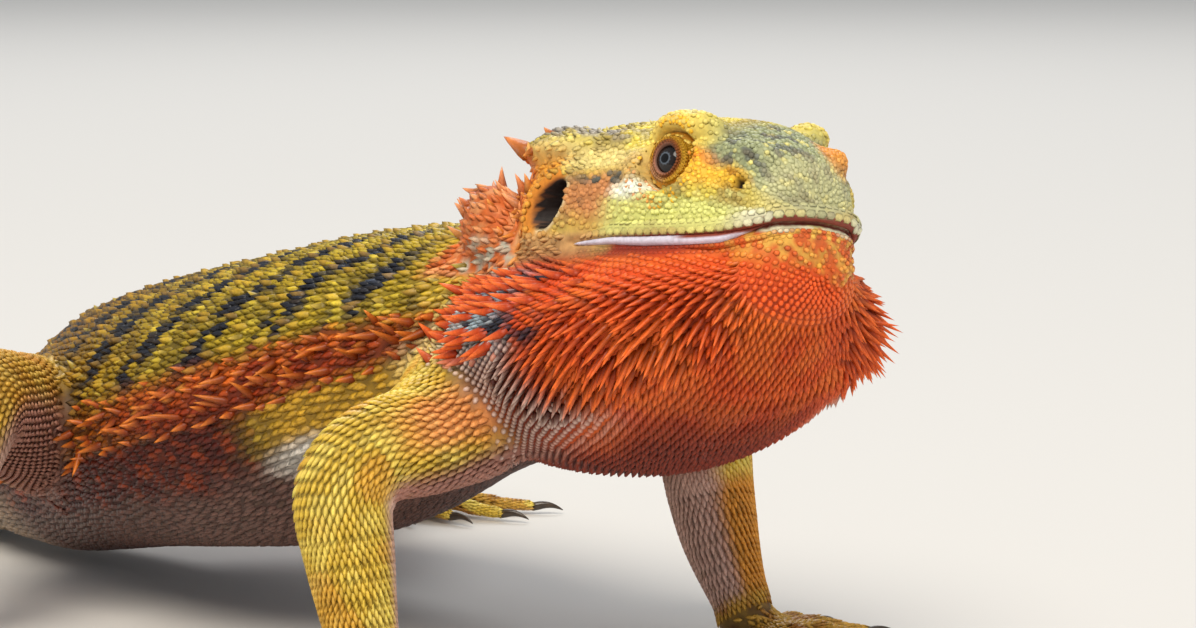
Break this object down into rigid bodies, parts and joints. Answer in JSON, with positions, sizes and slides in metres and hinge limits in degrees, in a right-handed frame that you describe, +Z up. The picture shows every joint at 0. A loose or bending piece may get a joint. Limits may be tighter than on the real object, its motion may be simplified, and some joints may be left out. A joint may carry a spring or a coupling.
{
  "type": "bearded dragon",
  "caption": "Still, life-size bearded dragon lizard standing with its head raised and its orange throat pouch puffed out.",
  "frame": {"origin": "on the floor, under the middle of the animal's outline seen from above", "axes": "+X from tail to head, +Y to the animal's left, +Z up"},
  "size_m": [0.4668, 0.2008, 0.0906],
  "materials": {
    "scaly_skin": "dry scaly hide, olive yellow with orange and blue-black markings",
    "beard_skin": "dry hide of pointed orange-red scales",
    "eye": "wet, glossy dark eye with a grey-brown ring",
    "horn": "dark polished horn"
  },
  "bodies": {
    "root": {"head": "scaly_skin", "neck": "scaly_skin", "trunk": "scaly_skin", "tail_1": "scaly_skin", "tail_2": "scaly_skin", "tail_3": "scaly_skin", "tail_4": "scaly_skin", "lower_jaw": "scaly_skin", "beard": "beard_skin", "upper_arm_right": "scaly_skin", "forearm_right": "scaly_skin", "hand_right": "scaly_skin", "thigh_right": "scaly_skin", "shin_right": "scaly_skin", "foot_right": "scaly_skin", "eye_right": "eye", "claw_hand_right_1": "horn", "claw_hand_right_2": "horn", "claw_hand_right_3": "horn", "claw_hand_right_4": "horn", "claw_hand_right_5": "horn", "claw_foot_right_1": "horn", "claw_foot_right_2": "horn", "claw_foot_right_3": "horn", "claw_foot_right_4": "horn", "claw_foot_right_5": "horn", "upper_arm_left": "scaly_skin", "forearm_left": "scaly_skin", "hand_left": "scaly_skin", "thigh_left": "scaly_skin", "shin_left": "scaly_skin", "foot_left": "scaly_skin", "eye_left": "eye", "claw_hand_left_1": "horn", "claw_hand_left_2": "horn", "claw_hand_left_3": "horn", "claw_hand_left_4": "horn", "claw_hand_left_5": "horn", "claw_foot_left_1": "horn", "claw_foot_left_2": "horn", "claw_foot_left_3": "horn", "claw_foot_left_4": "horn", "claw_foot_left_5": "horn"}
  },
  "joints": []
}
